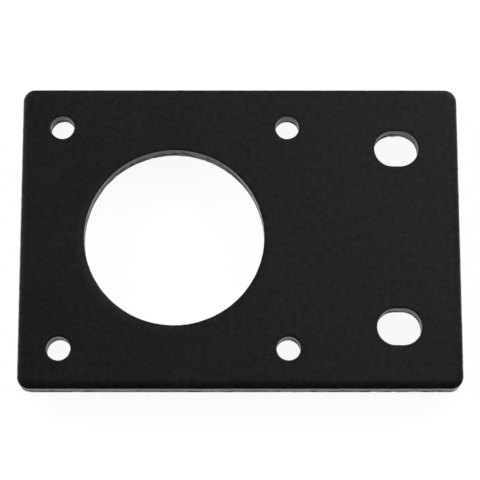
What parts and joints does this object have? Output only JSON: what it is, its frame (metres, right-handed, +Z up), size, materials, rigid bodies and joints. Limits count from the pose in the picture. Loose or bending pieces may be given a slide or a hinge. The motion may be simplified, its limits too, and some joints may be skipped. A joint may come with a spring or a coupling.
{
  "type": "motor mounting bracket",
  "caption": "Flat black mounting plate for a small stepper motor, with a large motor opening, screw holes round it and short slots for the frame screws.",
  "frame": {"origin": "the motor's axis, on the plate's lower face, where the motor's flange seats", "axes": "+X along the plate from the motor opening to the frame slots; +Z up through the sheet, towards the face with the rolled-over edges"},
  "size_m": [0.06, 0.042, 0.003],
  "materials": {
    "black_anodised_aluminium": "matte black anodised, with sheared edges"
  },
  "bodies": {
    "root": {"mounting_plate": "black_anodised_aluminium"}
  },
  "joints": []
}
